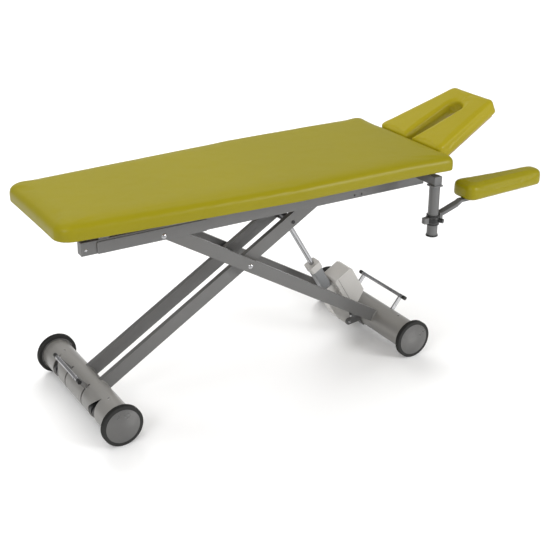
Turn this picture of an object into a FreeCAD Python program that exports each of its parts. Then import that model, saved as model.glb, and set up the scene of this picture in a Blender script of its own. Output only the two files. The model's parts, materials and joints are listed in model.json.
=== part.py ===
"""Height-adjustable examination couch: scissor legs on two rolling base tubes, one linear actuator,
a tilting head section with a face slot, and two armrests on posts.

Row frame: millimetres, +X towards the head end, +Y to the lying person's left, +Z up.
The origin is on the floor under the middle of the couch. Each side is "left" (+Y) or "right" (-Y).
"""
import FreeCAD, Part
import math
import os

V = FreeCAD.Vector
Y_AXIS = V(0, 1, 0)
SIDES = {"left": 1, "right": -1}

# ---- driving dimensions ---------------------------------------------------------------------------
HEAD_AXLE_X = 420.0          # base tube axes
FOOT_AXLE_X = -849.0
AXLE_Z = 77.5                # equals the tyre radius
CROSSING_Z = 461.0           # scissor crossing
UPPER_RUN = 360.0            # crossing to an upper pivot, along X
UPPER_RISE = 201.4           # the same, along Z

BASE_R = 58.0                # base tube
BASE_WALL = 4.0
BASE_HALF = 297.5
TYRE_W = 20.0
CAP_R = 64.0

OUTER_ARM_Y = (90.0, 110.0)  # inside and outside faces
INNER_ARM_Y = (50.0, 70.0)
RAIL_Y = (112.0, 116.0)
RAIL_Z = (650.0, 699.0)
RAIL_X = (-886.0, 588.0)
SHEET = 4.0

PAD_X = (-1010.0, 577.0)
PAD_HALF = 320.0
PAD_FOOT_HALF = 260.0
PAD_TAPER_X = -100.0         # the pad narrows from here to the foot end
PAD_BOTTOM = 768.0
PAD_TOP = 828.0
BOARD_T = 10.0

HEAD_PIVOT = V(622.0, 0, 745.0)
HEAD_TILT = 22.0             # degrees up, as modelled
HEAD_ROOT = -10.0            # section coordinates run from the pivot
HEAD_END = 361.0
HEAD_ROOT_HALF = 204.0
HEAD_END_HALF = 127.0
HEAD_BOARD_Z = (11.0, 23.0)
HEAD_PAD_T = 60.0
SLOT_END = 282.0
SLOT_ROOT_HALF = 18.0
SLOT_END_HALF = 38.0

POST_X = 498.0
POST_Y = 294.0
POST_R = 21.0
POST_Z = (512.0, 717.0)
CROSSBAR_Z = (717.0, 752.0)
COLLAR_Z = (562.0, 586.0)
KNOB_ANGLE = 62.0            # from +X outwards
ARMREST_X = (612.0, 1010.0)
ARMREST_START_Y = (250.0, 377.0)     # inner and outer edges next to the post
ARMREST_END_Y = (278.0, 358.0)       # the same at the far end
ARMREST_Z = (647.0, 710.0)

ACCESSORY_X = (248.0, 281.0) # holes for accessories in the rails
ACCESSORY_Z = 662.0
ACCESSORY_R = 4.25
PIVOT_R = 7.0                # upper pivot pins
SHAFT_R = 10.0               # scissor shaft
RUN_GAP = 0.05               # radial clearance of a running fit
ROLLER_R = 11.0
ACT_LOW = V(304.0, 0, 64.5)  # actuator's lower and upper pivots
ACT_TOP = V(-4.0, 0, 585.0)
ACT_PIN_R = 7.0
LEVER_BAR = V(-74.0, 0, 98.0)     # lift bar from the base axis, foot-end base
LEVER_T = 7.0                # uprights of the lift bar
LEVER_Y = {"foot": 73.0, "head": 124.0}     # inner faces of the uprights
BAR_HALF = {"foot": 102.0, "head": 141.0}   # lift bar without its tips
TIP = 17.0
CASTOR_SHAFT = V(22.0, 0, -22.0)
CASTOR_SHAFT_R = 8.0
CASTOR_REACH = 57.7
CASTOR_ANGLE = 160.0
CASTOR_R = 24.0
CASTOR_Y = 170.0             # middle of each twin castor
SPRING_LOW = V(382.0, 0, 672.0)
SPRING_TOP_IN_SECTION = (80.0, -55.0)

CROSSING = V((HEAD_AXLE_X + FOOT_AXLE_X) / 2, 0, CROSSING_Z)
OUTER_TOP = CROSSING + V(-UPPER_RUN, 0, UPPER_RISE)
INNER_TOP = CROSSING + V(UPPER_RUN, 0, UPPER_RISE)
HEAD_AXLE = V(HEAD_AXLE_X, 0, AXLE_Z)
FOOT_AXLE = V(FOOT_AXLE_X, 0, AXLE_Z)
TYRE_R = AXLE_Z


# ---- helpers --------------------------------------------------------------------------------------
def block(x, y, z):
    """Box from three (low, high) pairs."""
    size = [abs(high - low) for low, high in (x, y, z)]
    return Part.makeBox(*size, V(min(x), min(y), min(z)))


def rod_y(centre, radius, y):
    """Round bar along Y at centre's X and Z, over the pair y."""
    return Part.makeCylinder(radius, abs(y[1] - y[0]), V(centre.x, min(y), centre.z), Y_AXIS)


def prism_y(points, y):
    """Solid between two Y planes from an outline of (x, z) points."""
    corners = [V(px, min(y), pz) for px, pz in points]
    face = Part.Face(Part.makePolygon(corners + corners[:1]))
    return face.extrude(V(0, abs(y[1] - y[0]), 0))


def prism_z(points, z):
    """Solid between two Z planes from an outline of (x, y) points."""
    corners = [V(px, py, z[0]) for px, py in points]
    face = Part.Face(Part.makePolygon(corners + corners[:1]))
    return face.extrude(V(0, 0, z[1] - z[0]))


def on_side(pair, side):
    """A (near, far) distance pair from the middle plane, on one side."""
    return (pair[0] * side, pair[1] * side)


def both_sides(shape):
    """A right-left pair of separate solids from one solid at +Y."""
    return Part.makeCompound([shape, shape.mirror(V(0, 0, 0), Y_AXIS)])


def fused(shapes):
    """One solid from touching or overlapping solids."""
    return shapes[0].multiFuse(shapes[1:]).removeSplitter()


def turned(shape, centre, degrees):
    """Copy turned about the Y direction, positive from +X towards +Z."""
    copy = shape.copy()
    copy.rotate(centre, Y_AXIS, -degrees)
    return copy


def lifted(shape, origin):
    """Copy moved so that its own origin lands on the given point."""
    copy = shape.copy()
    copy.translate(origin)
    return copy


def angle_of(vector):
    """Direction in the XZ plane, in degrees."""
    return math.degrees(math.atan2(vector.z, vector.x))


def edges_along(shape, direction, keep=lambda middle: True):
    """Straight edges parallel to a direction whose middle passes a test."""
    found = []
    for edge in shape.Edges:
        if edge.Curve.TypeId != "Part::GeomLine":
            continue
        run = edge.Vertexes[-1].Point - edge.Vertexes[0].Point
        if run.Length > 0 and abs(run.normalize().dot(direction)) > 0.999:
            if keep(edge.CenterOfMass):
                found.append(edge)
    return found


def rounded_rim(shape, level, radius):
    """Fillet every edge that lies in the plane z = level."""
    rim = [edge for edge in shape.Edges
           if all(abs(vertex.Point.z - level) < 0.01 for vertex in edge.Vertexes)]
    return shape.makeFillet(radius, rim)


# ---- top frame ------------------------------------------------------------------------------------
def rail(side):
    """Angle rail: web outside, top flange turned inwards, an open block welded in its foot end."""
    web = block(RAIL_X, on_side(RAIL_Y, side), RAIL_Z)
    flange = block(RAIL_X, on_side((76.0, RAIL_Y[0]), side), (RAIL_Z[1] - SHEET, RAIL_Z[1]))
    end, low, high = RAIL_X[0], RAIL_Z[0], RAIL_Z[1]
    end_block = block((end, end + 32), on_side((84.0, RAIL_Y[0]), side), (low + 2, high - SHEET))
    pocket = block((end + 6, end + 26), on_side((90.0, 106.0), side), (low + 12, high + 1))
    pin_hole = rod_y(OUTER_TOP, PIVOT_R, on_side((100.0, 120.0), side))
    whole = fused([web, flange, end_block]).cut(pocket).cut(pin_hole)
    for x in ACCESSORY_X:
        whole = whole.cut(rod_y(V(x, 0, ACCESSORY_Z), ACCESSORY_R, on_side((100.0, 120.0), side)))
    return whole


def pivot_plates():
    """Doubler plates outside the rails, round the outer arms' upper pivots."""
    plate = block((-828.0, -402.0), (RAIL_Y[1], RAIL_Y[1] + SHEET), (RAIL_Z[0] - 1, RAIL_Z[1] - 6))
    plate = plate.makeFillet(6.0, edges_along(plate, Y_AXIS))
    return both_sides(plate.cut(rod_y(OUTER_TOP, PIVOT_R, (100.0, 130.0))))


def upper_pivot_pins():
    """Pins of the outer arms, fixed in the rails, with domed heads."""
    shank = rod_y(OUTER_TOP, PIVOT_R, (86.0, 120.0))
    return both_sides(fused([shank, domed_head(OUTER_TOP, 120.0, 11.0, 5.0)]))


def domed_head(centre, face_y, radius, height):
    """Domed bolt head standing on the plane y = face_y, pointing +Y."""
    sphere_r = (radius ** 2 + height ** 2) / (2 * height)
    ball = Part.makeSphere(sphere_r, V(centre.x, face_y + height - sphere_r, centre.z))
    keep = rod_y(centre, radius + 1, (face_y, face_y + height + 1))
    return ball.common(keep)


def roller_tracks():
    """Channels, open inwards, in which the inner arms' rollers run."""
    low = OUTER_TOP.z - ROLLER_R - 0.4
    high = OUTER_TOP.z + ROLLER_R + 0.4
    reach = (30.0, 300.0)
    outer = block(reach, (73.0, RAIL_Y[0]), (low - 3, high + 3))
    inside = block((reach[0] - 1, reach[1] + 1), (72.0, 106.0), (low, high))
    track = outer.cut(inside)
    for x in ACCESSORY_X:
        track = track.cut(rod_y(V(x, 0, ACCESSORY_Z), ACCESSORY_R, (100.0, 115.0)))
    return both_sides(track)


def cross_tube(x, length_y):
    """Square tube across the couch, between the rails."""
    outer = block((x - 20, x + 20), length_y, (654.0, 694.0))
    inner = block((x - 17, x + 17), length_y, (657.0, 691.0))
    return outer.cut(inner)


def cross_tubes():
    """Cross tubes between the rails. The head one carries the gas spring's lugs and lower pin."""
    span = (-RAIL_Y[0], RAIL_Y[0])
    outline = [(360, 660), (386, 660), (394, 666), (394, 678), (386, 684), (360, 684)]
    lug = prism_y(outline, (13.0, 17.0))
    pin = rod_y(SPRING_LOW, 4.0, (-19.0, 19.0))
    head = fused([cross_tube(340.0, span), lug, lug.mirror(V(0, 0, 0), Y_AXIS), pin])
    return Part.makeCompound([cross_tube(-832.0, span), cross_tube(-640.0, span), head])


def deck_frame():
    """Closed bearers across the rails and two closed long tubes on them, with drain holes."""
    low, middle, high = RAIL_Z[1], 739.0, PAD_BOTTOM - BOARD_T
    pieces = []
    for x in (-800, -450, -100, 250, 430):
        bearer = block((x - 20, x + 20), (-114.0, 114.0), (low, middle))
        bearer = bearer.cut(block((x - 17, x + 17), (-111.0, 111.0), (low + 3, middle - 3)))
        pieces.append(bearer.cut(Part.makeCylinder(3.0, 5.0, V(x, 0, low - 1))))
    for side in SIDES.values():
        tube = block((-930.0, 480.0), on_side((80.0, 110.0), side), (middle, high))
        tube = tube.cut(block((-927.0, 477.0), on_side((83.0, 107.0), side), (middle + 3, high - 3)))
        pieces.append(tube.cut(Part.makeCylinder(3.0, 5.0, V(-625.0, 95.0 * side, middle - 1))))
    return fused(pieces)


def pad_outline(inset):
    """Plan of the main pad, tapering to the foot end."""
    foot = PAD_X[0] + inset
    head = PAD_X[1] - inset
    wide = PAD_HALF - inset
    narrow = PAD_FOOT_HALF - inset
    near = [(foot, -narrow), (PAD_TAPER_X, -wide), (head, -wide)]
    return near + [(x, -y) for x, y in reversed(near)]


def board(outline, z, corner):
    """Plywood board with rounded plan corners."""
    plate = prism_z(outline, z)
    corners = edges_along(plate, V(0, 0, 1), lambda middle: abs(middle.x - PAD_TAPER_X) > 1)
    return plate.makeFillet(corner, corners)


def main_board():
    """Plywood under the main pad, set in from its edge."""
    return board(pad_outline(45.0), (PAD_BOTTOM - BOARD_T, PAD_BOTTOM), 30.0)


def main_pad():
    """Main cushion with rounded corners and edges."""
    upright = V(0, 0, 1)
    cushion = prism_z(pad_outline(0.0), (PAD_BOTTOM, PAD_TOP))
    cushion = cushion.makeFillet(60.0, edges_along(cushion, upright, lambda middle: middle.x < -900))
    cushion = cushion.makeFillet(44.0, edges_along(cushion, upright, lambda middle: middle.x > 500))
    return rounded_rim(rounded_rim(cushion, PAD_TOP, 26.0), PAD_BOTTOM, 9.0)


def frame_bolts():
    """Domed screws that hold the rails' end blocks."""
    return both_sides(domed_head(V(-868.0, 0, 670.0), RAIL_Y[1], 5.5, 3.0))


def head_hinge_brackets():
    """Lugs at the head ends of the rails that carry the head section's pins."""
    x, z = HEAD_PIVOT.x, HEAD_PIVOT.z
    outline = [(525.0, RAIL_Z[1]), (560.0, RAIL_Z[1]), (x, z - 10), (x, z + 10), (540.0, z + 3)]
    lug = prism_y(outline, (80.0, 88.0))
    eye = rod_y(HEAD_PIVOT, 10.0, (80.0, 88.0))
    foot = block((525.0, 560.0), (80.0, RAIL_Y[1]), (RAIL_Z[1], RAIL_Z[1] + 8))
    bracket = fused([lug, eye, foot]).cut(rod_y(HEAD_PIVOT, 5.0, (70.0, 95.0)))
    return both_sides(bracket)


def armrest_crossbar():
    """Closed tube across the couch, on spacers over the rails, that carries both armrest posts."""
    low, high = CROSSBAR_Z
    tube = block((POST_X - 15, POST_X + 15), (-POST_Y - 16, POST_Y + 16), CROSSBAR_Z)
    tube = tube.cut(block((POST_X - 12, POST_X + 12), (-POST_Y - 12, POST_Y + 12), (low + 3, high - 3)))
    for side in SIDES.values():
        tube = tube.cut(Part.makeCylinder(3.0, 5.0, V(POST_X, 200.0 * side, low - 1)))
        spacer = block((POST_X - 15, POST_X + 15), on_side((90.0, 114.0), side), (RAIL_Z[1], CROSSBAR_Z[0]))
        tube = tube.fuse(spacer)
    return tube.removeSplitter()


def post(side):
    """Armrest post: round tube hanging from its plate, closed at the top."""
    centre = V(POST_X, POST_Y * side, POST_Z[0])
    tube = Part.makeCylinder(POST_R, POST_Z[1] - POST_Z[0] - 6, centre)
    bore = Part.makeCylinder(POST_R - 3, POST_Z[1] - POST_Z[0] - 10, centre)
    return tube.cut(bore)


def post_plates():
    """Bent plates that carry the posts: a square seat under the crossbar and a screwed flange beside it."""
    seat = block((POST_X - 22, POST_X + 22), (POST_Y - 22, POST_Y + 22), (POST_Z[1] - 6, POST_Z[1]))
    height = (POST_Z[1] - 6, CROSSBAR_Z[1] - 2)
    flange = block((POST_X + 15, POST_X + 22), (POST_Y - 14, POST_Y + 14), height)
    screws = [Part.makeCylinder(3.5, 3.0, V(POST_X + 22, POST_Y, z), V(1, 0, 0)) for z in (725.0, 742.0)]
    return both_sides(fused([seat, flange] + screws))


def post_feet():
    """Plastic plugs in the posts' lower ends."""
    plug = Part.makeCylinder(POST_R - 3, 12.0, V(POST_X, POST_Y, POST_Z[0]))
    flare = Part.makeCone(POST_R + 3.5, POST_R + 2, 6.0, V(POST_X, POST_Y, POST_Z[0] - 6))
    return both_sides(fused([plug, flare]))


# ---- legs -----------------------------------------------------------------------------------------
def leg_outline(axle, low, high, full_from):
    """Outline of a leg arm in (u, n): u from the crossing to the axle, n upwards across it."""
    base_end = (axle - CROSSING).Length
    return [(-425.0, low), (base_end, low), (base_end, high), (full_from, high), (-425.0, 14.0)]


def leg_arm(axle, top, y, outline, crossing_hole):
    """Flat steel arm from its upper pivot, past the crossing, down to its base tube."""
    angle = angle_of(axle - CROSSING)
    if angle < -90.0:
        outline = [(u, -n) for u, n in outline]
    arm = lifted(turned(prism_y(outline, y), V(0, 0, 0), angle), V(CROSSING.x, 0, CROSSING.z))
    arm = arm.fuse(rod_y(top, 13.0, y)).removeSplitter()
    through = (min(y) - 1, max(y) + 1)
    arm = arm.cut(rod_y(axle, BASE_R, through))
    return arm.cut(rod_y(CROSSING, crossing_hole, through))


def outer_arm(side):
    """Outer leg arm, welded to the head-end base."""
    y = on_side(OUTER_ARM_Y, side)
    arm = leg_arm(HEAD_AXLE, OUTER_TOP, y, leg_outline(HEAD_AXLE, -24.0, 26.0, -252.0), SHAFT_R)
    return arm.cut(rod_y(OUTER_TOP, PIVOT_R + RUN_GAP, (min(y) - 1, max(y) + 1)))


def inner_arm(side):
    """Inner leg arm, welded to the foot-end base."""
    y = on_side(INNER_ARM_Y, side)
    arm = leg_arm(FOOT_AXLE, INNER_TOP, y, leg_outline(FOOT_AXLE, -22.0, 32.0, -346.0), SHAFT_R + RUN_GAP)
    return arm.cut(rod_y(INNER_TOP, PIVOT_R + RUN_GAP, (min(y) - 1, max(y) + 1)))


def scissor_shaft():
    """Shaft through all four arms at the crossing, with domed ends."""
    shaft = rod_y(CROSSING, SHAFT_R, (-110.0, 110.0))
    head = domed_head(CROSSING, 110.0, 11.0, 5.0)
    collar = rod_y(CROSSING, 15.0, (72.0, 90.0))
    return fused([shaft, head, head.mirror(V(0, 0, 0), Y_AXIS), collar, collar.mirror(V(0, 0, 0), Y_AXIS)])


def track_rollers():
    """Rollers of the inner arms on their common shaft."""
    shaft = rod_y(INNER_TOP, PIVOT_R, (-99.0, 99.0))
    wheels = [rod_y(INNER_TOP, ROLLER_R, on_side((76.0, 99.0), side)) for side in SIDES.values()]
    return fused([shaft] + wheels)


# ---- bases ----------------------------------------------------------------------------------------
def base_tube(end):
    """Base tube about its own axis, lift bar side towards -X: castor windows, lever slots and bulkheads."""
    half = (-BASE_HALF, BASE_HALF)
    origin = V(0, 0, 0)
    tube = rod_y(origin, BASE_R, half).cut(rod_y(origin, BASE_R - BASE_WALL, half))
    cutters = []
    bulkheads = []
    for side in SIDES.values():
        window = [(144.0, -70.0), (204.0, -70.0), (192.0, 54.0), (144.0, 10.0)]
        corners = [V(-70.0, y * side, z) for y, z in window]
        cutters.append(Part.Face(Part.makePolygon(corners + corners[:1])).extrude(V(55.0, 0, 0)))
        cutters.append(block((-20.0, 16.0), on_side((144.0, 204.0), side), (-70.0, -30.0)))
        slot = (LEVER_Y[end] - 0.5, LEVER_Y[end] + LEVER_T + 0.5)
        cutters.append(block((-70.0, -20.0), on_side(slot, side), (-51.0, 60.0)))
        for y in (134.0, 205.0):
            bulkheads.append(rod_y(origin, BASE_R - BASE_WALL, on_side((y, y + 5.0), side)))
    plates = fused([tube.cut(Part.makeCompound(cutters))] + bulkheads)
    return plates.cut(rod_y(CASTOR_SHAFT, CASTOR_SHAFT_R + RUN_GAP, half))


def tyres():
    """Two ribbed rubber rings that stand on the floor."""
    ring = rod_y(V(0, 0, 0), TYRE_R, (BASE_HALF, BASE_HALF + TYRE_W))
    ring = ring.makeChamfer(2.0, [edge for edge in ring.Edges if edge.Curve.TypeId == "Part::GeomCircle"])
    ring = ring.cut(rod_y(V(0, 0, 0), CAP_R, (BASE_HALF - 1, BASE_HALF + TYRE_W + 1)))
    for y in (302.5, 307.5, 312.5):
        groove = rod_y(V(0, 0, 0), TYRE_R + 1, (y - 0.8, y + 0.8))
        ring = ring.cut(groove.cut(rod_y(V(0, 0, 0), TYRE_R - 2.0, (y - 1, y + 1))))
    return both_sides(ring)


def end_caps():
    """Domed plastic caps that close the base tube and carry the tyres."""
    disc = rod_y(V(0, 0, 0), CAP_R, (BASE_HALF, BASE_HALF + TYRE_W))
    dome = domed_head(V(0, 0, 0), BASE_HALF + TYRE_W, CAP_R, 9.0)
    spigot = rod_y(V(0, 0, 0), BASE_R - BASE_WALL, (BASE_HALF - 14.0, BASE_HALF))
    return both_sides(fused([disc, dome, spigot]))


def castor_axle():
    """Middle of a castor from the base axis."""
    angle = math.radians(CASTOR_ANGLE)
    return CASTOR_SHAFT + V(math.cos(angle), 0, math.sin(angle)) * CASTOR_REACH


def link(start, end, half_width, y):
    """Flat link with round ends between two Y axes."""
    run = end - start
    corners = [(0, -half_width), (run.Length, -half_width), (run.Length, half_width), (0, half_width)]
    body = prism_y(corners, y)
    body = lifted(turned(body, V(0, 0, 0), angle_of(run)), V(start.x, 0, start.z))
    return fused([body, rod_y(start, half_width, y), rod_y(end, half_width, y)])


def castor_lift():
    """Lift shaft with its two castor links."""
    pieces = [rod_y(CASTOR_SHAFT, CASTOR_SHAFT_R, (-214.0, 214.0))]
    for side in SIDES.values():
        y = on_side((CASTOR_Y - 5, CASTOR_Y + 5), side)
        pieces.append(link(CASTOR_SHAFT, castor_axle(), 9.0, y))
    return fused(pieces).cut(rod_y(castor_axle(), 4.0 + RUN_GAP, (-200.0, 200.0)))


def lift_bar(end):
    """Bar pressed by foot, on two flat uprights from the lift shaft."""
    pieces = [rod_y(LEVER_BAR, 7.0, (-BAR_HALF[end], BAR_HALF[end]))]
    hole = rod_y(CASTOR_SHAFT, CASTOR_SHAFT_R, (-200.0, 200.0))
    for side in SIDES.values():
        y = on_side((LEVER_Y[end], LEVER_Y[end] + LEVER_T), side)
        pieces.append(link(CASTOR_SHAFT, LEVER_BAR, 8.5, y))
        pieces.append(rod_y(CASTOR_SHAFT, 13.0, y))
    return fused(pieces).cut(hole)


def lift_bar_tips(end):
    """Rubber tips on the lift bar."""
    return both_sides(rod_y(LEVER_BAR, 8.0, (BAR_HALF[end], BAR_HALF[end] + TIP)))


def castor_wheel(side):
    """Twin castor on its axle."""
    axle = rod_y(castor_axle(), 4.0, on_side((CASTOR_Y - 20, CASTOR_Y + 20), side))
    rims = [rod_y(castor_axle(), CASTOR_R, on_side((CASTOR_Y + low, CASTOR_Y + high), side))
            for low, high in ((-20.0, -6.0), (6.0, 20.0))]
    return fused([axle] + rims)


def at_base(shape, end):
    """Place a base piece: the foot end as drawn, the head end as its mirror image in X."""
    if end == "head":
        return lifted(shape.mirror(V(0, 0, 0), V(1, 0, 0)), HEAD_AXLE)
    return lifted(shape, FOOT_AXLE)


# ---- actuator -------------------------------------------------------------------------------------
def actuator_frame(shape):
    """Place a piece drawn along +X from the lower pivot, +Z towards the head end."""
    flipped = shape.mirror(V(0, 0, 0), V(0, 0, 1))
    return lifted(turned(flipped, V(0, 0, 0), angle_of(ACT_TOP - ACT_LOW)), ACT_LOW)


def rod_x(x, radius):
    """Round bar along X on the X axis."""
    return Part.makeCylinder(radius, x[1] - x[0], V(x[0], 0, 0), V(1, 0, 0))


def actuator_bracket():
    """Clevis ears on the head-end base with the lower pivot pin."""
    along = HEAD_AXLE - ACT_LOW
    inner_end = ACT_LOW + along * 0.62
    ears = [link(ACT_LOW, inner_end, 15.0, on_side((27.0, 33.0), side)) for side in SIDES.values()]
    saddle = rod_y(HEAD_AXLE, BASE_R + 6.0, (-33.0, 33.0))
    saddle = saddle.common(block((300.0, 400.0), (-33.0, 33.0), (30.0, 110.0)))
    pin = rod_y(ACT_LOW, ACT_PIN_R, (-38.0, 38.0))
    whole = fused(ears + [saddle, pin])
    return whole.cut(rod_y(HEAD_AXLE, BASE_R, (-50.0, 50.0)))


def gearbox():
    """Lower actuator housing: gear case round the screw with the rear eye."""
    outline = [(0, -14), (34, -26), (60, -33), (195, -33), (205, -26)]
    outline += [(205, 30), (60, 30), (34, 22), (0, 14)]
    case = prism_y(outline, (-25.0, 25.0))
    case = case.fuse(rod_y(V(0, 0, 0), 14.0, (-25.0, 25.0))).removeSplitter()
    bore = rod_x((83.0, 215.0), 17.0)
    eye = rod_y(V(0, 0, 0), ACT_PIN_R + RUN_GAP, (-30.0, 30.0))
    return actuator_frame(case.cut(bore).cut(eye))


def motor_cover():
    """Moulded motor housing beside the tube: four walls of a hollow block with chamfered corners."""
    outline = [(70, 30), (218, 30), (222, 36), (222, 112), (212, 122)]
    outline += [(92, 122), (82, 112), (62, 76), (62, 40)]
    shell = prism_y(outline, (-46.0, 46.0))
    inner = [(74, 34), (214, 34), (218, 40), (218, 110), (210, 118)]
    inner += [(94, 118), (86, 110), (66, 74), (66, 44)]
    hollow = prism_y(inner, (-42.0, 42.0))
    return actuator_frame(shell.cut(hollow))


def motor():
    """Electric motor inside its housing."""
    can = Part.makeCylinder(30.0, 96.0, V(100.0, 0, 78.0), V(1, 0, 0))
    shaft = Part.makeCylinder(4.0, 12.0, V(88.0, 0, 78.0), V(1, 0, 0))
    return actuator_frame(fused([can, shaft]))


def actuator_tube():
    """Square outer tube of the actuator."""
    outer = block((205.0, 308.0), (-22.0, 22.0), (-22.0, 22.0))
    outer = outer.makeFillet(6.0, edges_along(outer, V(1, 0, 0)))
    return actuator_frame(outer.cut(rod_x((150.0, 310.0), 17.0)))


def actuator_collar():
    """Guide collar that closes the tube's mouth."""
    outer = block((308.0, 338.0), (-26.0, 26.0), (-26.0, 26.0))
    outer = outer.makeFillet(8.0, edges_along(outer, V(1, 0, 0)))
    return actuator_frame(outer.cut(rod_x((300.0, 345.0), 10.6)))


def screw_spindle():
    """Threaded spindle, turning inside the hollow rod."""
    return actuator_frame(fused([rod_x((84.0, 300.0), 5.0), rod_x((84.0, 91.0), 14.0)]))


def actuator_rod():
    """Polished hollow rod, its spindle nut and its upper eye with the cross pin."""
    length = (ACT_TOP - ACT_LOW).Length
    rod = rod_x((239.0, length - 8.0), 10.5)
    nut = rod_x((239.0, 251.0), 16.0)
    eye = rod_y(V(length, 0, 0), 18.0, (-46.0, 46.0))
    bore = rod_x((238.0, length - 90.0), 6.0)
    return actuator_frame(fused([rod, nut, eye]).cut(bore))


def actuator_bolts():
    """Dark cap screws on the inner arms at the actuator's upper pivot."""
    return both_sides(rod_y(ACT_TOP, 7.0, (INNER_ARM_Y[1], INNER_ARM_Y[1] + 3.0)))


# ---- head section ---------------------------------------------------------------------------------
def head_placed(shape):
    """Place a piece drawn level in section coordinates."""
    return turned(lifted(shape, HEAD_PIVOT), HEAD_PIVOT, HEAD_TILT)


def head_half_width(x):
    """Half width of the head pad at a section position."""
    share = (x - HEAD_ROOT) / (HEAD_END - HEAD_ROOT)
    return HEAD_ROOT_HALF + share * (HEAD_END_HALF - HEAD_ROOT_HALF)


def head_plate(z, inset, corner):
    """Slab with the head pad's tapered plan and its face slot, open towards the main pad."""
    root = HEAD_ROOT + inset
    end = HEAD_END - inset
    outline = [(root, head_half_width(root) - inset), (end, head_half_width(end) - inset)]
    outline += [(x, -y) for x, y in reversed(outline)]
    slab = prism_z(outline, z)
    slab = slab.makeFillet(corner, edges_along(slab, V(0, 0, 1)))
    centre = SLOT_END - SLOT_END_HALF
    wide = SLOT_END_HALF + inset / 2
    narrow = SLOT_ROOT_HALF + inset / 2
    sides = [(root - 1, -narrow), (centre, -wide), (centre, wide), (root - 1, narrow)]
    slot = prism_z(sides, (z[0] - 1, z[1] + 1))
    round_end = Part.makeCylinder(wide, z[1] - z[0] + 2, V(centre, 0, z[0] - 1))
    return slab.cut(slot.fuse(round_end))


def head_pad():
    """Head cushion with the face slot."""
    top = HEAD_BOARD_Z[1] + HEAD_PAD_T
    pad = head_plate((HEAD_BOARD_Z[1], top), 0.0, 26.0)
    return head_placed(rounded_rim(pad, top, 12.0))


def head_board():
    """Plywood under the head cushion."""
    return head_placed(head_plate(HEAD_BOARD_Z, 16.0, 20.0))


def head_frame():
    """Two arms with cross bars, hinge pins, and ears for the gas spring."""
    low = -9.0
    high = HEAD_BOARD_Z[0]
    pieces = [block(x, (-77.0, 77.0), (low, high)) for x in ((70.0, 90.0), (300.0, 320.0))]
    ear_foot, ear_tip = V(80.0, 0, 0), V(SPRING_TOP_IN_SECTION[0], 0, SPRING_TOP_IN_SECTION[1])
    for side in SIDES.values():
        pieces.append(block((-4.0, 320.0), on_side((62.0, 77.0), side), (low, high)))
        pieces.append(rod_y(V(0, 0, 0), 5.0 - RUN_GAP, on_side((70.0, 92.0), side)))
        pieces.append(link(ear_foot, ear_tip, 9.0, on_side((15.0, 19.0), side)))
    return head_placed(fused(pieces))


def spring_top():
    """Gas spring's upper pivot at the modelled tilt."""
    x, z = SPRING_TOP_IN_SECTION
    tilt = math.radians(HEAD_TILT)
    along = x * math.cos(tilt) - z * math.sin(tilt)
    up = x * math.sin(tilt) + z * math.cos(tilt)
    return HEAD_PIVOT + V(along, 0, up)


def spring_placed(shape):
    """Place a piece drawn along +X from the gas spring's lower pivot."""
    return lifted(turned(shape, V(0, 0, 0), angle_of(spring_top() - SPRING_LOW)), SPRING_LOW)


def spring_cylinder():
    """Gas spring's cylinder with its lower eye and rod guide."""
    eye = rod_y(V(0, 0, 0), 9.0, (-9.0, 9.0))
    body = fused([eye, rod_x((6.0, 190.0), 11.0)])
    bore = rod_x((40.0, 182.0), 9.0).fuse(rod_x((181.0, 191.0), 5.0 + RUN_GAP))
    return spring_placed(body.cut(bore).cut(rod_y(V(0, 0, 0), 4.0 + RUN_GAP, (-12.0, 12.0))))


def spring_rod():
    """Gas spring's piston rod with its upper eye and short pin."""
    length = (spring_top() - SPRING_LOW).Length
    pieces = [rod_x((110.0, length - 4.0), 5.0), rod_x((110.0, 122.0), 8.9)]
    pieces.append(rod_y(V(length, 0, 0), 8.0, (-9.0, 9.0)))
    pieces.append(rod_y(V(length, 0, 0), 4.0, (-13.5, 13.5)))
    return spring_placed(fused(pieces))


# ---- armrests -------------------------------------------------------------------------------------
def on_post(shape, side):
    """Move a piece drawn about the Z axis onto a post, mirrored for the right side."""
    if side < 0:
        shape = shape.mirror(V(0, 0, 0), Y_AXIS)
    return lifted(shape, V(POST_X, POST_Y * side, 0))


def ring(radius, z):
    """Ring round the post with a sliding fit."""
    return Part.makeCylinder(radius, z[1] - z[0], V(0, 0, z[0])).cut(
        Part.makeCylinder(POST_R + RUN_GAP, z[1] - z[0], V(0, 0, z[0])))


def slide_rings(side):
    """Plastic stop rings under and over the armrest collar, joined by a thin sleeve."""
    low, high = COLLAR_Z
    sleeve = ring(POST_R + 2.0, (low - 8.0, high + 8.0))
    rings = [ring(25.5, (low - 8.0, low)), ring(25.5, (high, high + 8.0))]
    return on_post(fused([sleeve] + rings), side)


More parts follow.
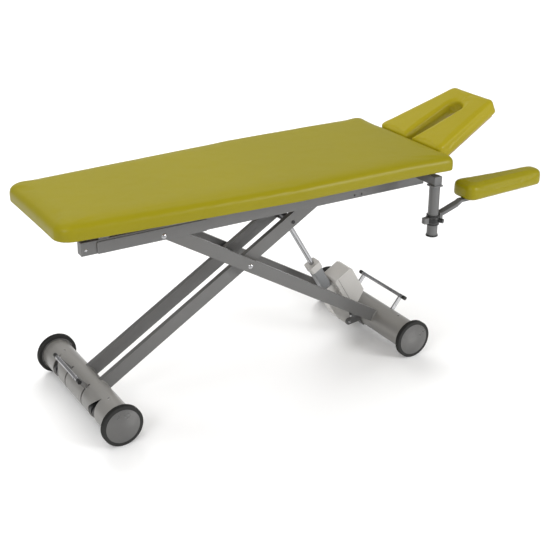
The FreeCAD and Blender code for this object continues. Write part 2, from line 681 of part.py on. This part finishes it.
def armrest_bar(side):
    """Split collar with its clamp lugs, and the bent flat bar that runs out under the armrest."""
    low, high = COLLAR_Z[0] + 0.3, COLLAR_Z[1] - 0.3
    top = ARMREST_Z[0]
    outer = Part.makeCylinder(26.5, high - low, V(0, 0, low))
    lugs = block((-46.0, -20.0), (-10.0, 10.0), (low, high))
    gusset = block((22.0, 36.0), (-8.0, 16.0), (low, high + 14))
    path = [(26, high + 4), (36, high + 4), (110, top - 10), (400, top - 10), (400, top), (104, top),
            (30, high + 14), (26, high + 14)]
    plan = [(26, -8), (36, -8), (96, 16), (400, 16), (400, 41), (86, 41), (26, 16)]
    bar = prism_y(path, (-10.0, 50.0)).common(prism_z(plan, (low, top + 1)))
    ring_room = Part.makeCylinder(27.5, 40.0, V(0, 0, high))
    whole = fused([outer, lugs, fused([gusset, bar]).cut(ring_room)])
    whole = whole.cut(Part.makeCylinder(POST_R + 2.0 + RUN_GAP, 80.0, V(0, 0, low - 20)))
    whole = whole.cut(block((-50.0, -21.0), (-1.0, 1.0), (low - 1, high + 1)))
    whole = whole.cut(Part.makeCylinder(3.0, 40.0, V(0, 0, (low + high) / 2), knob_direction()))
    return on_post(whole, side)


def knob_direction():
    """The way the clamp knob points, from the post outwards."""
    return V(math.cos(math.radians(KNOB_ANGLE)), math.sin(math.radians(KNOB_ANGLE)), 0)


def clamp_knob(side):
    """Black knob with its screw, across the collar."""
    middle = V(0, 0, (COLLAR_Z[0] + COLLAR_Z[1]) / 2)
    grip = Part.makeCylinder(9.0, 16.0, middle + knob_direction() * 28.0, knob_direction())
    screw = Part.makeCylinder(3.0 - RUN_GAP, 6.0, middle + knob_direction() * 23.2, knob_direction())
    return on_post(fused([grip, screw]), side)


def armrest_pad(side):
    """Armrest cushion, narrowing to its far end, with rounded corners and edges."""
    outline = [(ARMREST_X[0], y) for y in reversed(ARMREST_START_Y)]
    outline += [(ARMREST_X[1], y) for y in ARMREST_END_Y]
    pad = prism_z(outline, ARMREST_Z)
    pad = pad.makeFillet(34.0, edges_along(pad, V(0, 0, 1)))
    pad = rounded_rim(rounded_rim(pad, ARMREST_Z[1], 22.0), ARMREST_Z[0], 10.0)
    if side < 0:
        pad = pad.mirror(V(0, 0, 0), Y_AXIS)
    return pad


# ---- export ---------------------------------------------------------------------------------------
def single_parts():
    """Nodes that exist once, as one solid or as a group of like solids."""
    return {
        "pivot_plates": pivot_plates(),
        "upper_pivot_pins": upper_pivot_pins(),
        "roller_tracks": roller_tracks(),
        "cross_tubes": cross_tubes(),
        "deck_frame": deck_frame(),
        "main_board": main_board(),
        "main_pad": main_pad(),
        "frame_bolts": frame_bolts(),
        "head_hinge_brackets": head_hinge_brackets(),
        "armrest_crossbar": armrest_crossbar(),
        "post_plates": post_plates(),
        "post_feet": post_feet(),
        "scissor_shaft": scissor_shaft(),
        "track_rollers": track_rollers(),
        "actuator_bracket": actuator_bracket(),
        "actuator_gearbox": gearbox(),
        "actuator_motor_cover": motor_cover(),
        "actuator_motor": motor(),
        "actuator_tube": actuator_tube(),
        "actuator_collar": actuator_collar(),
        "actuator_spindle": screw_spindle(),
        "actuator_rod": actuator_rod(),
        "actuator_bolts": actuator_bolts(),
        "head_pad": head_pad(),
        "head_board": head_board(),
        "head_frame": head_frame(),
        "gas_spring_cylinder": spring_cylinder(),
        "gas_spring_rod": spring_rod(),
    }


def sided_parts(side):
    """Nodes that exist once on each side."""
    return {
        "rail": rail(side),
        "post": post(side),
        "outer_arm": outer_arm(side),
        "inner_arm": inner_arm(side),
        "slide_rings": slide_rings(side),
        "armrest_bar": armrest_bar(side),
        "clamp_knob": clamp_knob(side),
        "armrest_pad": armrest_pad(side),
    }


def base_parts(end):
    """Nodes of one rolling base, about its own axis."""
    parts = {
        "base_tube": base_tube(end),
        "tyres": tyres(),
        "end_caps": end_caps(),
        "castor_lift": castor_lift(),
        "lift_bar": lift_bar(end),
        "lift_bar_tips": lift_bar_tips(end),
    }
    for name, side in SIDES.items():
        parts["castor_wheel_" + name] = castor_wheel(side)
    return parts


def all_parts():
    """Every sub-part by node name."""
    parts = single_parts()
    for name, side in SIDES.items():
        for node, shape in sided_parts(side).items():
            parts[node + "_" + name] = shape
    for end in ("foot", "head"):
        for node, shape in base_parts(end).items():
            parts[end + "_" + node] = at_base(shape, end)
    return parts


os.makedirs("parts", exist_ok=True)
for node, shape in all_parts().items():
    if not shape.isValid() or shape.Volume <= 0:
        raise ValueError(node + " is not a valid solid")
    shape.exportStep(os.path.join("parts", node + ".step"))
    print(node, len(shape.Solids), "solids", round(shape.Volume / 1000.0, 1), "cm3")
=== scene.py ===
import itertools
import json
import math

import bmesh
import bpy
from mathutils import Matrix, Vector, noise


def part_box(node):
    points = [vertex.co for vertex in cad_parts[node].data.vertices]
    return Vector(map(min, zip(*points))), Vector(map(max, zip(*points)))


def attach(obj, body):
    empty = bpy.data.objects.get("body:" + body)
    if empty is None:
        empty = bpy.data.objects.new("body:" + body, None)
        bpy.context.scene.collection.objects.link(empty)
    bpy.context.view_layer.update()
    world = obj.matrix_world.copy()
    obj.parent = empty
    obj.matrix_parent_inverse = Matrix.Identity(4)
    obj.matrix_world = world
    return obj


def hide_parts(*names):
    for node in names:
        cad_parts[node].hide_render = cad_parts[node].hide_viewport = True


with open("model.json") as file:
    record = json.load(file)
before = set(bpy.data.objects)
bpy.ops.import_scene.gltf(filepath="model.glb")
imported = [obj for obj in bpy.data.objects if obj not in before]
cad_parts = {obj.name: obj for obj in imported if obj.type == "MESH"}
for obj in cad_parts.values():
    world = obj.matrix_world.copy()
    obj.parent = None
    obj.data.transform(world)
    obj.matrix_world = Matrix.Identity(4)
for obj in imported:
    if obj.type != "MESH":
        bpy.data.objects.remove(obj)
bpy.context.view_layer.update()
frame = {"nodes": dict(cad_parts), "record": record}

NODES = frame["nodes"]
JOINTS = {joint["name"]: joint for joint in frame["record"]["behaviour"]["joints"]}
SIDES = (("left", 1), ("right", -1))
X = Vector((1, 0, 0))
Y = Vector((0, 1, 0))
Z = Vector((0, 0, 1))


def middle_of(node):
    """Centre of a CAD node's box."""
    low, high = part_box(node)
    return (Vector(low) + Vector(high)) / 2


def faces_of(node, axis):
    """Where a CAD node's box begins and ends along an axis."""
    low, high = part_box(node)
    return low[axis], high[axis]


# ---- places taken from the frame, in metres --------------------------------------------------
HEAD_AXLE = middle_of("head_tyres")
FOOT_AXLE = middle_of("foot_tyres")
OUTER_ARM_FACES = faces_of("outer_arm_left", 1)
INNER_ARM_FACES = faces_of("inner_arm_left", 1)
TUBE_R = faces_of("head_base_tube", 2)[1] - HEAD_AXLE.z
COVER_FACE = faces_of("actuator_motor_cover", 1)[1]
MAIN_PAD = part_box("main_pad")
POST = Vector(JOINTS["armrest_swing_left"]["pos_m"])
ACT_LOW = Vector(JOINTS["actuator_tilt"]["pos_m"])
ACT_ALONG = Vector(JOINTS["actuator_stroke"]["axis"]).normalized()

# ---- sizes shared with the CAD, in metres and radians ----------------------------------------
ARM_LEAN = math.radians(31.15)
OUTER_ARM_EDGES = (-0.026, 0.024)
INNER_ARM_EDGES = (-0.022, 0.032)
BULKHEAD_Y = 0.207
HEAD_TILT = math.radians(22)


# ---- materials -------------------------------------------------------------------------------
def node_of(tree, kind, **values):
    """New shader node with its inputs or properties set."""
    new = tree.nodes.new(kind)
    for key, value in values.items():
        if key in new.inputs:
            new.inputs[key].default_value = value
        else:
            setattr(new, key, value)
    return new


def noise_at(tree, coords, scale, detail=2.0, rough=0.5, stretch=None):
    """Noise texture on object coordinates, optionally stretched."""
    tex = node_of(tree, "ShaderNodeTexNoise", Scale=scale, Detail=detail, Roughness=rough)
    vector = coords
    if stretch:
        scaled = node_of(tree, "ShaderNodeMapping")
        scaled.inputs["Scale"].default_value = stretch
        tree.links.new(coords, scaled.inputs["Vector"])
        vector = scaled.outputs["Vector"]
    tree.links.new(vector, tex.inputs["Vector"])
    return tex.outputs["Fac"]


def mapped(tree, value, low, high, start=0.3, end=0.7):
    """Map Range from the middle of a noise to a range."""
    ranged = node_of(tree, "ShaderNodeMapRange")
    for key, number in (("From Min", start), ("From Max", end), ("To Min", low), ("To Max", high)):
        ranged.inputs[key].default_value = number
    tree.links.new(value, ranged.inputs["Value"])
    return ranged.outputs["Result"]


def mixed_colour(tree, factor, first, second):
    """Colour between two constants by a factor, on a mix node's colour sockets."""
    mix = node_of(tree, "ShaderNodeMix", data_type="RGBA")
    mix.inputs[6].default_value = (*first, 1)
    mix.inputs[7].default_value = (*second, 1)
    tree.links.new(factor, mix.inputs[0])
    return mix.outputs[2]


def surface(name, dark, light, rough, metal=0.0, cloud=4.0, grain=700.0, bump=0.15, depth=0.0002,
            stretch=None, **sockets):
    """Principled material with clouded colour, varied roughness and a fine grain bump."""
    material = bpy.data.materials.new(name)
    material.use_nodes = True
    tree = material.node_tree
    shader = tree.nodes["Principled BSDF"]
    coords = node_of(tree, "ShaderNodeTexCoord").outputs["Object"]
    clouds = noise_at(tree, coords, cloud, detail=5.0, rough=0.6)
    fine = noise_at(tree, coords, grain, detail=3.0, stretch=stretch)
    colour = mixed_colour(tree, mapped(tree, clouds, 0, 1), dark, light)
    tree.links.new(colour, shader.inputs["Base Color"])
    tree.links.new(mapped(tree, clouds, rough[0], rough[1]), shader.inputs["Roughness"])
    bumps = node_of(tree, "ShaderNodeBump", Strength=bump, Distance=depth)
    tree.links.new(fine, bumps.inputs["Height"])
    tree.links.new(bumps.outputs["Normal"], shader.inputs["Normal"])
    shader.inputs["Metallic"].default_value = metal
    for key, value in sockets.items():
        shader.inputs[key.replace("_", " ")].default_value = value
    return material


def vinyl(name, dark, light):
    """Upholstery vinyl: satin sheen, fine leather grain from cells and a faint large undulation."""
    material = surface(name, dark, light, (0.34, 0.42), cloud=2.0, Specular_IOR_Level=0.22)
    tree = material.node_tree
    shader = tree.nodes["Principled BSDF"]
    coords = tree.nodes["Texture Coordinate"].outputs["Object"]
    cells = node_of(tree, "ShaderNodeTexVoronoi", Scale=620.0, feature="DISTANCE_TO_EDGE")
    tree.links.new(coords, cells.inputs["Vector"])
    grain = node_of(tree, "ShaderNodeBump", Strength=0.16, Distance=0.0003)
    pebbles = mapped(tree, cells.outputs["Distance"], 0, 1, start=0.0, end=0.22)
    tree.links.new(pebbles, grain.inputs["Height"])
    swell = node_of(tree, "ShaderNodeBump", Strength=0.25, Distance=0.004)
    tree.links.new(noise_at(tree, coords, 9.0, detail=2.0), swell.inputs["Height"])
    tree.links.new(swell.outputs["Normal"], grain.inputs["Normal"])
    tree.links.new(grain.outputs["Normal"], shader.inputs["Normal"])
    return material


def plywood():
    """Plywood: clouded brown with a grain stretched along the couch."""
    return surface("plywood", (0.26, 0.17, 0.09), (0.42, 0.30, 0.18), (0.55, 0.7), cloud=3.0, grain=60.0,
                   bump=0.3, depth=0.0004, stretch=(0.08, 1.0, 1.0))


def brushed(name, dark, light, rough, stretch):
    """Bright or brushed metal with fine lines along the stretch direction."""
    return surface(name, dark, light, rough, metal=1.0, cloud=8.0, grain=900.0, bump=0.06, depth=0.0001,
                   stretch=stretch)


def paint(name, dark, light, rough, metal, coat, coat_rough):
    """Satin powder paint with a thin coat."""
    return surface(name, dark, light, rough, metal=metal, cloud=2.5, grain=1500.0, bump=0.03,
                   Coat_Weight=coat, Coat_Roughness=coat_rough)


MATERIALS = {
    "frame_paint": paint("satin_grey_frame", (0.122, 0.122, 0.121), (0.132, 0.132, 0.131), (0.42, 0.46),
                         0.2, 0.12, 0.32),
    "leg_paint": paint("satin_grey_legs", (0.116, 0.115, 0.112), (0.127, 0.126, 0.123), (0.40, 0.44),
                       0.2, 0.15, 0.3),
    "base_paint": paint("satin_warm_grey_base", (0.226, 0.219, 0.207), (0.247, 0.240, 0.227), (0.34, 0.40),
                        0.25, 0.25, 0.22),
    "upholstery": vinyl("vinyl_olive", (0.236, 0.202, 0.002), (0.256, 0.219, 0.004)),
    # head cushion: the same olive vinyl painted about a fifth lighter, as painted light for the head
    # section's tilted, brighter-lit top
    "head_upholstery_painted_light": vinyl("vinyl_head_painted_light", (0.312, 0.256, 0.006), (0.335, 0.276, 0.009)),
    "plywood": plywood(),
    "bright_steel": brushed("bright_steel", (0.35, 0.35, 0.36), (0.46, 0.46, 0.47), (0.16, 0.26),
                            stretch=(0.1, 1, 1)),
    "plain_steel": brushed("plain_steel", (0.30, 0.30, 0.31), (0.40, 0.40, 0.41), (0.30, 0.42),
                           stretch=(1, 0.06, 1)),
    "tyre_rubber": surface("tyre_rubber", (0.006, 0.006, 0.005), (0.011, 0.011, 0.010), (0.62, 0.78),
                           cloud=12.0, grain=420.0, bump=0.35),
    "cap_plastic": surface("cap_plastic", (0.125, 0.124, 0.121), (0.142, 0.140, 0.137), (0.26, 0.32),
                           metal=0.55, cloud=7.0, grain=800.0, bump=0.12),
    "housing_plastic": surface("housing_plastic", (0.46, 0.448, 0.428), (0.50, 0.487, 0.465), (0.40, 0.50),
                               cloud=5.0, grain=520.0, bump=0.22),
    "tube_grey": surface("tube_grey", (0.20, 0.205, 0.21), (0.235, 0.24, 0.245), (0.36, 0.46),
                         metal=0.4, cloud=5.0, grain=600.0, bump=0.1),
    "black_plastic": surface("black_plastic", (0.007, 0.007, 0.007), (0.012, 0.012, 0.012), (0.36, 0.5),
                             cloud=9.0, grain=520.0, bump=0.25),
    "castor_plastic": surface("castor_plastic", (0.022, 0.022, 0.022), (0.034, 0.034, 0.034), (0.34, 0.45),
                              cloud=9.0, grain=480.0, bump=0.2),
}


def dress_cad():
    """Give each CAD node the material of its record slot."""
    for part in frame["record"]["subparts"]:
        obj = NODES[part["node"]]
        obj.data.materials.clear()
        obj.data.materials.append(MATERIALS[part["material_slot"]])


# bevel widths in metres, for single pieces and for those with a left and a right one
EDGES = {
    "actuator_motor_cover": 0.0065,
    "actuator_gearbox": 0.004,
    "actuator_collar": 0.003,
    "armrest_crossbar": 0.0015,
    "cross_tubes": 0.0015,
    "deck_frame": 0.002,
    "foot_lift_bar_tips": 0.002,
    "head_lift_bar_tips": 0.002,
}
SIDE_EDGES = {
    "clamp_knob_": 0.0016,
    "slide_rings_": 0.0012,
    "foot_castor_wheel_": 0.0025,
    "head_castor_wheel_": 0.0025,
}
# pieces that all take the plain width
PLAIN_EDGE = 0.0008
PLAIN = ("pivot_plates", "roller_tracks", "head_hinge_brackets", "post_plates", "head_frame",
         "actuator_bracket", "foot_base_tube", "foot_lift_bar", "foot_castor_lift",
         "head_base_tube", "head_lift_bar", "head_castor_lift")
SIDE_PLAIN = ("rail_", "outer_arm_", "inner_arm_", "armrest_bar_", "post_")
# bevels wider than this get three segments, and edges sharper than this angle get a bevel
WIDE_EDGE = 0.002
SHARP = math.radians(35)


def add_bevels():
    """Small rounded edges on pressed, sawn and moulded CAD pieces."""
    widths = dict(EDGES)
    widths.update({node: PLAIN_EDGE for node in PLAIN})
    for name, _ in SIDES:
        widths.update({start + name: width for start, width in SIDE_EDGES.items()})
        widths.update({start + name: PLAIN_EDGE for start in SIDE_PLAIN})
    for node, width in widths.items():
        bevel = NODES[node].modifiers.new("edge", "BEVEL")
        bevel.width = width
        bevel.segments = 3 if width > WIDE_EDGE else 2
        bevel.limit_method = "ANGLE"
        bevel.angle_limit = SHARP


# ---- new pieces ------------------------------------------------------------------------------
# weld beads: section radius, lift of its middle off the tube, ripple and its turn at each step
BEAD_R = 0.0021
BEAD_LIFT = 0.0004
BEAD_RIPPLE = 0.0004
BEAD_WAVE = 2.4
BEAD_STEPS = 36
BEAD_SIDES = 8

# domed heads of the base tubes' screws and of the actuator's lower pin
DOME_STEPS = 8
DOME_SIDES = 24
SCREW_R = 0.0045
SCREW_RISE = 0.0018
SCREW_SUNK = 0.0004
SCREW_LEAN = math.radians(4)
PIN_R = 0.0065
PIN_RISE = 0.0022
PIN_FACE_Y = 0.0378

# armrest clamp sleeves: outside radius, half height and chamfer
SLEEVE_R = 0.0277
SLEEVE_HALF = 0.0108
SLEEVE_CHAMFER = 0.001
SLEEVE_SIDES = 64

# motor housing seam: along the actuator, out from its middle plane, and across it
SEAM_X = (0.064, 0.220)
SEAM_Y = (COVER_FACE - 0.0005, COVER_FACE + 0.0003)
SEAM_Z = (0.0470, 0.0482)


def piece(name, bm, slot, body, smooth=True):
    """Mesh object from a bmesh, with a slot's material, riding on a body."""
    mesh = bpy.data.meshes.new(name)
    bm.to_mesh(mesh)
    bm.free()
    obj = bpy.data.objects.new(name, mesh)
    bpy.context.scene.collection.objects.link(obj)
    mesh.materials.append(MATERIALS[slot])
    if smooth:
        mesh.shade_smooth()
    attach(obj, body)


def ring(bm, centre, across, other, radius, sides):
    """Circle of vertices round a centre, in the plane of two directions."""
    verts = []
    for k in range(sides):
        turn = 2 * math.pi * k / sides
        out_from_centre = across * math.cos(turn) + other * math.sin(turn)
        verts.append(bm.verts.new(centre + out_from_centre * radius))
    return verts


def bridge(bm, rings):
    """Faces from each ring of vertices to the next."""
    for first, second in zip(rings, rings[1:]):
        for k in range(len(first)):
            after = (k + 1) % len(first)
            bm.faces.new((first[k], first[after], second[after], second[k]))


def bead_along(points):
    """bmesh weld bead through points of one x-z plane, with closed ends."""
    bm = bmesh.new()
    rings = []
    for i, point in enumerate(points):
        before = points[max(i - 1, 0)]
        after = points[min(i + 1, len(points) - 1)]
        outward = (after - before).cross(Y).normalized()
        rings.append(ring(bm, point, Y, outward, BEAD_R, BEAD_SIDES))
    bridge(bm, rings)
    bm.faces.new(rings[0][::-1])
    bm.faces.new(rings[-1])
    bmesh.ops.recalc_face_normals(bm, faces=bm.faces)
    return bm


def weld_bead(name, axle, lean, edges, y, body):
    """Rippled bead round a base tube, between the two edges of an arm that leans from it."""
    start = lean + math.asin(edges[0] / TUBE_R)
    end = lean + math.asin(edges[1] / TUBE_R)
    points = []
    for i in range(BEAD_STEPS + 1):
        turn = start + (end - start) * i / BEAD_STEPS
        radius = TUBE_R + BEAD_LIFT + BEAD_RIPPLE * math.sin(i * BEAD_WAVE)
        points.append(axle + Vector((math.cos(turn) * radius, y, math.sin(turn) * radius)))
    piece(name, bead_along(points), "base_paint", body)


def weld_beads():
    """Beads on both faces of each arm at its base tube."""
    arms = (
        ("outer", HEAD_AXLE, math.pi - ARM_LEAN, OUTER_ARM_EDGES, OUTER_ARM_FACES, "outer_legs"),
        ("inner", FOOT_AXLE, ARM_LEAN, INNER_ARM_EDGES, INNER_ARM_FACES, "inner_legs"),
    )
    for name, side in SIDES:
        for arm, axle, lean, edges, (inside, outside), body in arms:
            for tag, y in (("outside", outside), ("inside", inside)):
                weld_bead(f"weld_{arm}_{name}_{tag}", axle, lean, edges, y * side, body)


def dome(name, centre, direction, radius, height, body):
    """Bright domed head of a screw or pin, facing a direction."""
    bm = bmesh.new()
    rings = []
    for i in range(DOME_STEPS):
        rise = math.pi / 2 * i / DOME_STEPS
        middle = Vector((0, 0, height * math.sin(rise)))
        rings.append(ring(bm, middle, X, Y, radius * math.cos(rise), DOME_SIDES))
    bridge(bm, rings)
    top = bm.verts.new((0, 0, height))
    for k in range(DOME_SIDES):
        bm.faces.new((rings[-1][k], rings[-1][(k + 1) % DOME_SIDES], top))
    bm.faces.new(rings[0][::-1])
    turn = Z.rotation_difference(direction).to_matrix().to_4x4()
    bmesh.ops.transform(bm, matrix=Matrix.Translation(centre) @ turn, verts=bm.verts)
    bmesh.ops.recalc_face_normals(bm, faces=bm.faces)
    piece(name, bm, "bright_steel", body)


def tube_screws():
    """Screws in the crowns of both base tubes, over the bulkheads, leaning to the couch's ends."""
    for end, axle, towards, body in (("foot", FOOT_AXLE, -1, "inner_legs"),
                                     ("head", HEAD_AXLE, 1, "outer_legs")):
        outward = Vector((math.sin(SCREW_LEAN) * towards, 0, math.cos(SCREW_LEAN)))
        for name, side in SIDES:
            place = axle + outward * (TUBE_R - SCREW_SUNK) + Y * (BULKHEAD_Y * side)
            dome(f"{end}_tube_screw_{name}", place, outward, SCREW_R, SCREW_RISE, body)


def clamp_sleeves():
    """Black moulded sleeve round each armrest's split collar."""
    straight = SLEEVE_HALF - SLEEVE_CHAMFER
    narrow = SLEEVE_R - SLEEVE_CHAMFER
    profile = (
        (narrow, -SLEEVE_HALF),
        (SLEEVE_R, -straight),
        (SLEEVE_R, straight),
        (narrow, SLEEVE_HALF),
    )
    for name, side in SIDES:
        bm = bmesh.new()
        centre = Vector((POST.x, POST.y * side, POST.z))
        rings = [ring(bm, centre + Z * height, X, Y, radius, SLEEVE_SIDES) for radius, height in profile]
        bridge(bm, rings + rings[:1])
        bmesh.ops.recalc_face_normals(bm, faces=bm.faces)
        piece("clamp_sleeve_" + name, bm, "black_plastic", "armrest_" + name)


def clevis_pins():
    """Domed ends of the actuator's lower pivot pin."""
    for name, side in SIDES:
        face = ACT_LOW + Y * (PIN_FACE_Y * side)
        dome("clevis_pin_" + name, face, Y * side, PIN_R, PIN_RISE, "outer_legs")


def on_actuator(x, y, z):
    """Place measured on the actuator: x up along it from the lower pivot, z across it."""
    across = Vector((ACT_ALONG.z, 0, -ACT_ALONG.x))
    return ACT_LOW + ACT_ALONG * x + across * z + Y * y


def housing_seams():
    """Dark joint line between the halves of the motor housing, on both faces."""
    for name, side in SIDES:
        bm = bmesh.new()
        corners = []
        for x, y, z in itertools.product(SEAM_X, SEAM_Y, SEAM_Z):
            corners.append(bm.verts.new(on_actuator(x, y * side, z)))
        bmesh.ops.convex_hull(bm, input=corners)
        piece("housing_seam_" + name, bm, "black_plastic", "actuator", smooth=False)


# ---- cushions --------------------------------------------------------------------------------
# upward part of a point's normal: the underside is below the first, wrinkles come above the second
UNDERSIDE = -0.75
WRINKLED = -0.5

# the cover is drawn in (metres), blown up by cloth pressure, smoothed again and wrinkled (metres)
DRAWN_IN = 0.001
PRESSURE = 4.0
CLOTH_FRAMES = 20
SOFTENING = 3
WRINKLE = 0.0006

# foam at the main cover's ends: length of each zone and how far its edge stands out, in metres
FOOT_ZONE = 0.21
FOOT_FILL = 0.010
HEAD_ZONE = 0.217
CORNER_FILL = 0.014


def copy_of(node, name):
    """Separate copy of a CAD node's mesh as a plain object."""
    obj = bpy.data.objects.new(name, NODES[node].data.copy())
    bpy.context.scene.collection.objects.link(obj)
    obj.data.materials.clear()
    return obj


def baked(obj):
    """Replace an object's mesh by what its modifiers make of it."""
    deps = bpy.context.evaluated_depsgraph_get()
    mesh = bpy.data.meshes.new_from_object(obj.evaluated_get(deps))
    obj.modifiers.clear()
    obj.data = mesh


def remeshed(obj, voxel):
    """Even quads of about the voxel size."""
    remesh = obj.modifiers.new("remesh", "REMESH")
    remesh.mode = "VOXEL"
    remesh.voxel_size = voxel
    remesh.use_smooth_shade = True
    baked(obj)


def relaxed(obj, rounds):
    """Smooth a mesh, which rounds its edges."""
    smooth = obj.modifiers.new("relax", "SMOOTH")
    smooth.factor = 0.5
    smooth.iterations = rounds
    baked(obj)


def inflated(obj, up, cap):
    """Cloth pressure from inside on a pinned underside, with each point's move capped."""
    start = [v.co.copy() for v in obj.data.vertices]
    pins = obj.vertex_groups.new(name="pins")
    held = [v.index for v in obj.data.vertices if v.normal.dot(up) < UNDERSIDE]
    pins.add(held, 1.0, "REPLACE")
    cloth = obj.modifiers.new("cloth", "CLOTH")
    settings = cloth.settings
    settings.quality = 4
    settings.mass = 0.3
    settings.tension_stiffness = 18
    settings.compression_stiffness = 18
    settings.shear_stiffness = 8
    settings.bending_stiffness = 0.6
    settings.use_pressure = True
    settings.uniform_pressure_force = PRESSURE
    settings.vertex_group_mass = "pins"
    settings.effector_weights.gravity = 0
    cloth.collision_settings.use_collision = False
    scene = bpy.context.scene
    for step in range(1, CLOTH_FRAMES + 1):
        scene.frame_set(step)
    deps = bpy.context.evaluated_depsgraph_get()
    moved = [v.co.copy() for v in obj.evaluated_get(deps).data.vertices]
    obj.modifiers.clear()
    obj.vertex_groups.clear()
    scene.frame_set(1)
    for vertex, old, new in zip(obj.data.vertices, start, moved):
        shift = new - old
        if shift.length > cap:
            shift *= cap / shift.length
        vertex.co = old + shift


def pushed(obj, up, lowest, distance):
    """Move each point along its normal by distance(place), but not where the normal looks down."""
    normals = [v.normal.copy() for v in obj.data.vertices]
    for vertex, normal in zip(obj.data.vertices, normals):
        if normal.dot(up) > lowest:
            vertex.co = vertex.co + normal * distance(vertex.co)


def wrinkle(place):
    """Slight unevenness of stretched vinyl, from a coarse and a fine wave."""
    coarse = 0.6 * noise.noise(place * 14.0)
    fine = 0.25 * noise.noise(place * 31.0)
    return (coarse + fine) * WRINKLE


def cushion(name, node, body, up, voxel, cap, rounds, look="upholstery"):
    """Upholstered cushion from the plain CAD one: remeshed, rounded, inflated and subdivided."""
    obj = copy_of(node, name)
    remeshed(obj, voxel)
    pushed(obj, up, UNDERSIDE, lambda place: -DRAWN_IN)
    relaxed(obj, rounds)
    inflated(obj, up, cap)
    relaxed(obj, SOFTENING)
    pushed(obj, up, WRINKLED, wrinkle)
    obj.data.materials.append(MATERIALS[look])
    subdivision = obj.modifiers.new("smooth", "SUBSURF")
    subdivision.levels = 1
    subdivision.render_levels = 1
    obj.data.shade_smooth()
    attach(obj, body)
    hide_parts(node)
    return obj


def filled_ends(obj):
    """Foam that fills the main cover: the foot end and the two head-end corners stand out a little."""
    low, high = MAIN_PAD
    for vertex in obj.data.vertices:
        place = vertex.co
        to_foot = max(0.0, 1 - (place.x - low[0]) / FOOT_ZONE)
        to_head = max(0.0, 1 - (high[0] - place.x) / HEAD_ZONE)
        to_side = min(1.0, abs(place.y) / high[1])
        foot = FOOT_FILL * to_foot ** 2
        corner = CORNER_FILL * to_head ** 2 * to_side ** 6
        vertex.co = place + Vector((corner - foot, math.copysign(corner, place.y), 0))


def cushions():
    """All four cushions."""
    tilted = Vector((-math.sin(HEAD_TILT), 0, math.cos(HEAD_TILT)))
    main = cushion("main_cushion", "main_pad", "top_frame", Z, voxel=0.007,
                   cap=0.005, rounds=8)
    filled_ends(main)
    # the head cushion takes the lighter copy of the olive vinyl: painted light for its tilted top
    cushion("head_cushion", "head_pad", "head_section", tilted, voxel=0.004,
            cap=0.0022, rounds=14, look="head_upholstery_painted_light")
    for name, _ in SIDES:
        cushion("armrest_cushion_" + name, "armrest_pad_" + name, "armrest_" + name, Z,
                voxel=0.004, cap=0.003, rounds=12)


# ---- stage -----------------------------------------------------------------------------------
FLOOR_HALF = 20.0  # metres


def camera():
    """Camera at the couch's viewing angle, a little above and in front of its foot end."""
    data = bpy.data.cameras.new("camera")
    obj = bpy.data.objects.new("camera", data)
    bpy.context.scene.collection.objects.link(obj)
    right = Vector((0.85290, -0.52202, 0.00776))
    upward = Vector((0.19078, 0.32548, 0.92610))
    back = Vector((-0.48597, -0.78839, 0.37719))
    place = Vector((-2.1548, -3.4267, 2.1702))
    turn = Matrix((right, upward, back)).transposed().to_4x4()
    obj.matrix_world = Matrix.Translation(place) @ turn
    data.sensor_width = 36.0
    data.lens = 73.2
    data.shift_y = -0.0797
    bpy.context.scene.camera = obj


def floor():
    """Satin white floor, a little bright in itself as a white studio floor looks."""
    bm = bmesh.new()
    bmesh.ops.create_grid(bm, x_segments=1, y_segments=1, size=FLOOR_HALF)
    mesh = bpy.data.meshes.new("floor")
    bm.to_mesh(mesh)
    bm.free()
    obj = bpy.data.objects.new("floor", mesh)
    bpy.context.scene.collection.objects.link(obj)
    material = bpy.data.materials.new("floor")
    material.use_nodes = True
    shader = material.node_tree.nodes["Principled BSDF"]
    shader.inputs["Base Color"].default_value = (0.85, 0.85, 0.85, 1)
    shader.inputs["Roughness"].default_value = 0.28
    shader.inputs["Specular IOR Level"].default_value = 0.35
    shader.inputs["Emission Color"].default_value = (1, 1, 1, 1)
    shader.inputs["Emission Strength"].default_value = 0.10
    mesh.materials.append(material)


def surroundings():
    """Even white light from all round, shown without a film curve."""
    world = bpy.data.worlds.new("studio")
    bpy.context.scene.world = world
    world.use_nodes = True
    background = world.node_tree.nodes["Background"]
    background.inputs["Color"].default_value = (1, 1, 1, 1)
    background.inputs["Strength"].default_value = 0.38
    bpy.context.scene.view_settings.view_transform = "Standard"


def area_light(name, place, target, size, power, glossy=True):
    """Soft rectangular light aimed at a point, seen in reflections or not."""
    data = bpy.data.lights.new(name, "AREA")
    data.shape = "RECTANGLE"
    data.size, data.size_y = size
    data.energy = power
    obj = bpy.data.objects.new(name, data)
    bpy.context.scene.collection.objects.link(obj)
    obj.location = place
    obj.visible_glossy = glossy
    obj.rotation_euler = (Vector(target) - Vector(place)).to_track_quat("-Z", "Y").to_euler()


def lights():
    """Four soft lights on the couch, and one that keeps the far floor white."""
    area_light("key", (2.4, -4.0, 2.2), (0, 0, 0.4), (2.0, 1.8), 140)
    area_light("fill", (-3.6, -2.6, 2.6), (0.4, 0, 0.7), (1.8, 1.4), 75)
    area_light("top", (-1.6, 0.2, 3.8), (0, 0, 0.4), (2.6, 2.2), 62, glossy=False)
    area_light("back", (0.6, 2.9, 2.6), (0.1, 0, 0.5), (3.4, 1.4), 60, glossy=False)
    area_light("far_floor", (5.0, 7.4, 3.5), (5.0, 7.4, 0), (12.0, 6.0), 950, glossy=False)


dress_cad()
add_bevels()
weld_beads()
tube_screws()
clamp_sleeves()
clevis_pins()
housing_seams()
cushions()
camera()
floor()
surroundings()
lights()
